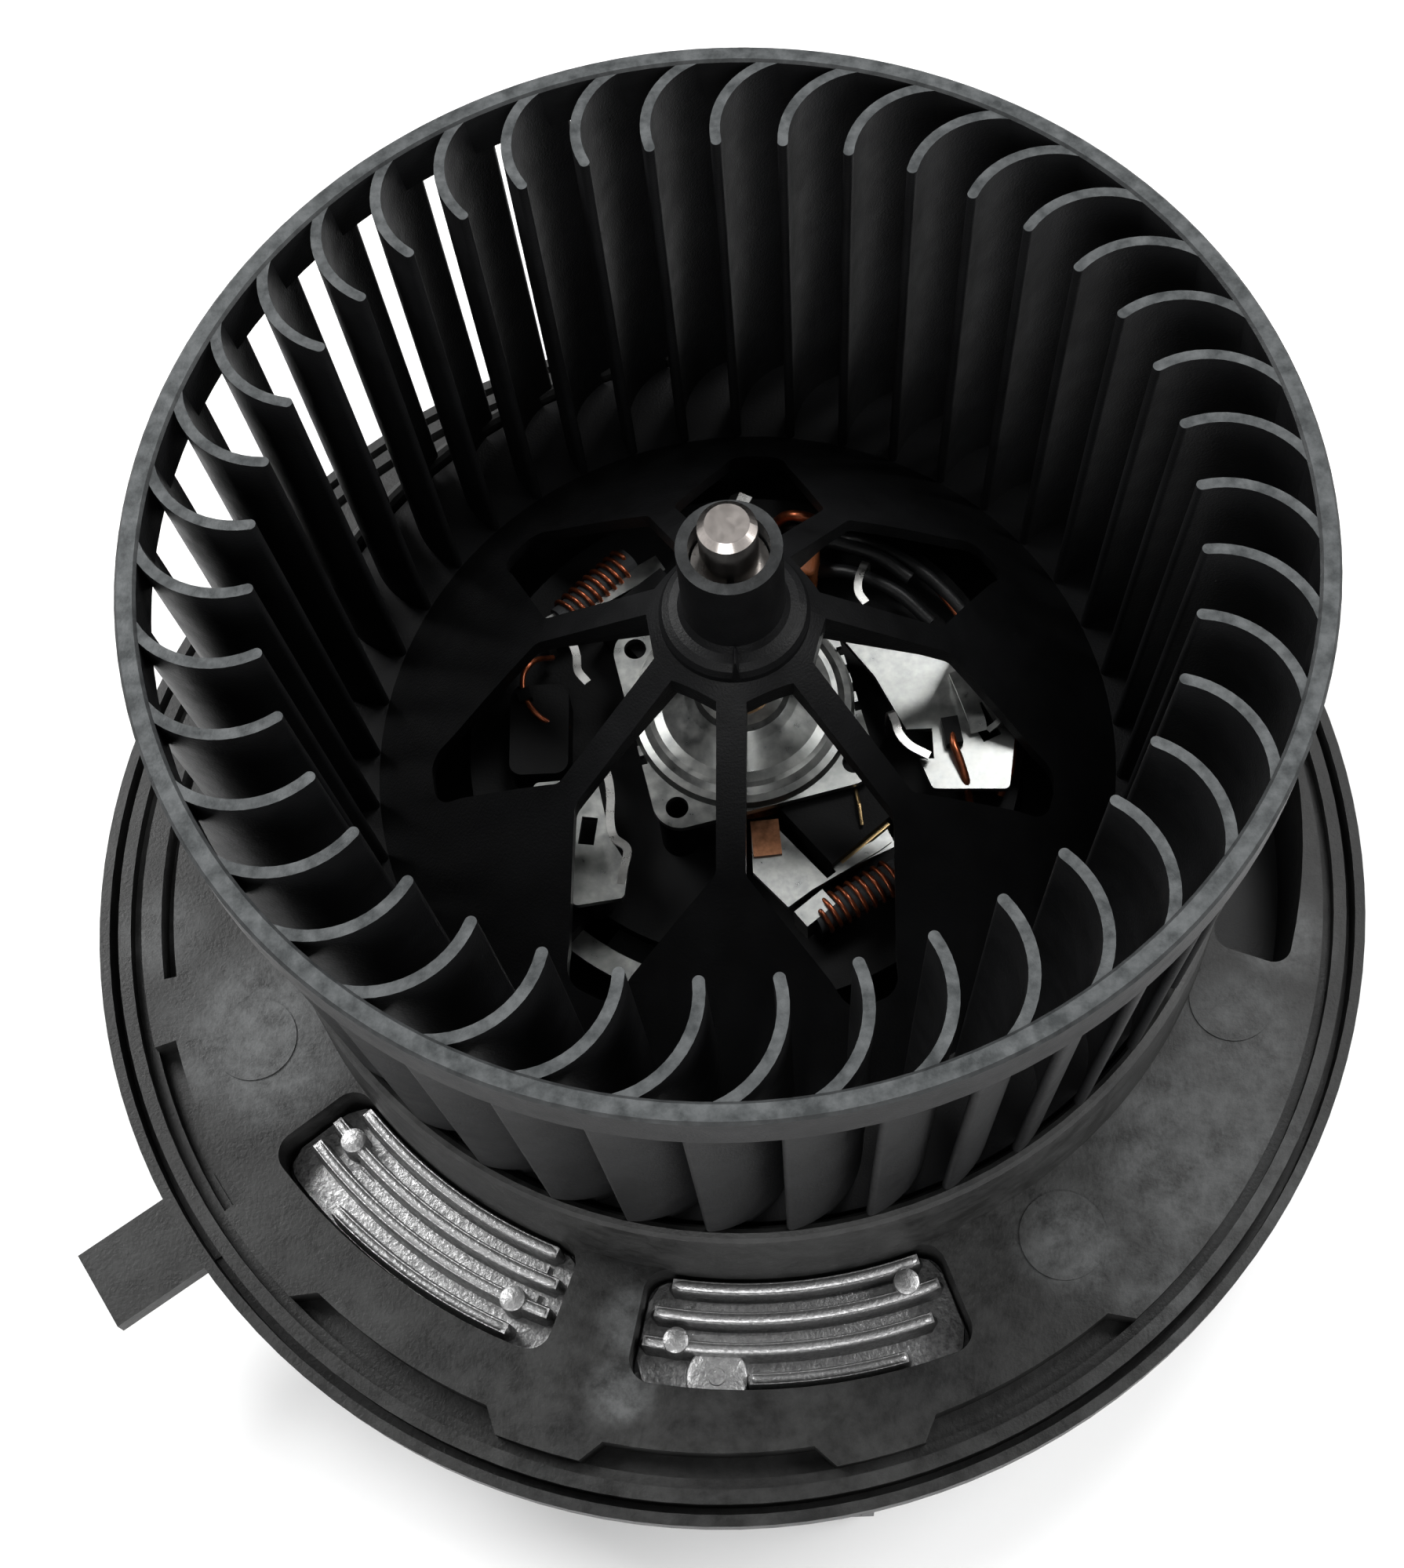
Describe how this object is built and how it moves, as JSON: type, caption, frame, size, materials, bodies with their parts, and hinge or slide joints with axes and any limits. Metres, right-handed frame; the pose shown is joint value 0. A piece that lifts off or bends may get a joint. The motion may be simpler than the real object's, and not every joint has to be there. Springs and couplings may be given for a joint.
{
  "type": "blower motor wheel",
  "caption": "Forward-curved blower wheel on a brushed motor with a round mounting flange, heat-sink windows and a plug socket.",
  "frame": {"origin": "centre of the flange's round rim, in the plane of the rim's top, where the flange seats in the blower case", "axes": "+Z along the rim's axis towards the wheel; -Y towards the heat-sink windows; +X to the right seen from the wheel"},
  "size_m": [0.2046, 0.2046, 0.1262],
  "materials": {
    "wheel_plastic": "matte black, scuffed grey on the edges",
    "flange_plastic": "black glass-filled, cloudy",
    "cover_plastic": "black, fine texture",
    "socket_plastic": "black, smooth",
    "card_plastic": "black thermoset, matt",
    "shaft_steel": "ground bright",
    "zinc_steel": "galvanised, dull",
    "bearing_bronze": "sintered, oily",
    "core_steel": "stacked laminations",
    "copper": "enamelled wire",
    "commutator_copper": "dull copper bars",
    "ferrite": "sintered, dull",
    "brass_sheet": "satin",
    "carbon": "pressed graphite",
    "spring_steel": "bright",
    "tinned": "tin plated",
    "capacitor_film": "dipped",
    "cast_aluminium": "as cast",
    "board": "solder mask",
    "chip_epoxy": "moulded",
    "rubber": "matte",
    "washer_nylon": "natural"
  },
  "bodies": {
    "housing": {"motor_can": "zinc_steel", "magnets": "ferrite", "lower_bearing": "bearing_bronze", "lower_bearing_clip": "spring_steel", "end_plate": "zinc_steel", "upper_bearing": "bearing_bronze", "brush_bracket": "zinc_steel", "brush_card": "card_plastic", "brush_tubes": "brass_sheet", "carbon_brush_a": "carbon", "carbon_brush_b": "carbon", "brush_spring_a": "spring_steel", "brush_spring_b": "spring_steel", "choke_cores": "ferrite", "choke_coils": "copper", "terminal_strips": "tinned", "suppression_capacitor": "capacitor_film", "mounting_flange": "flange_plastic", "motor_isolators": "rubber", "dish_buffers": "rubber", "heat_sink": "cast_aluminium", "controller_cover": "cover_plastic", "plug_socket": "socket_plastic", "socket_pins": "tinned", "controller_board": "board", "power_transistors": "chip_epoxy", "board_capacitors": "capacitor_film", "cover_screws": "zinc_steel", "ground_bracket": "zinc_steel", "cooling_duct": "cover_plastic"},
    "rotor": {"impeller_hoop": "wheel_plastic", "impeller_blades": "wheel_plastic", "impeller_disc": "wheel_plastic", "motor_shaft": "shaft_steel", "shaft_clip": "spring_steel", "rotor_core": "core_steel", "rotor_windings": "copper", "commutator": "commutator_copper", "thrust_washers": "washer_nylon"}
  },
  "joints": [
    {"name": "wheel_spin", "type": "hinge", "parent": "housing", "child": "rotor", "pos_m": [0.0036, 0.01, 0], "axis": [0, 0, 1], "continuous": true}
  ]
}
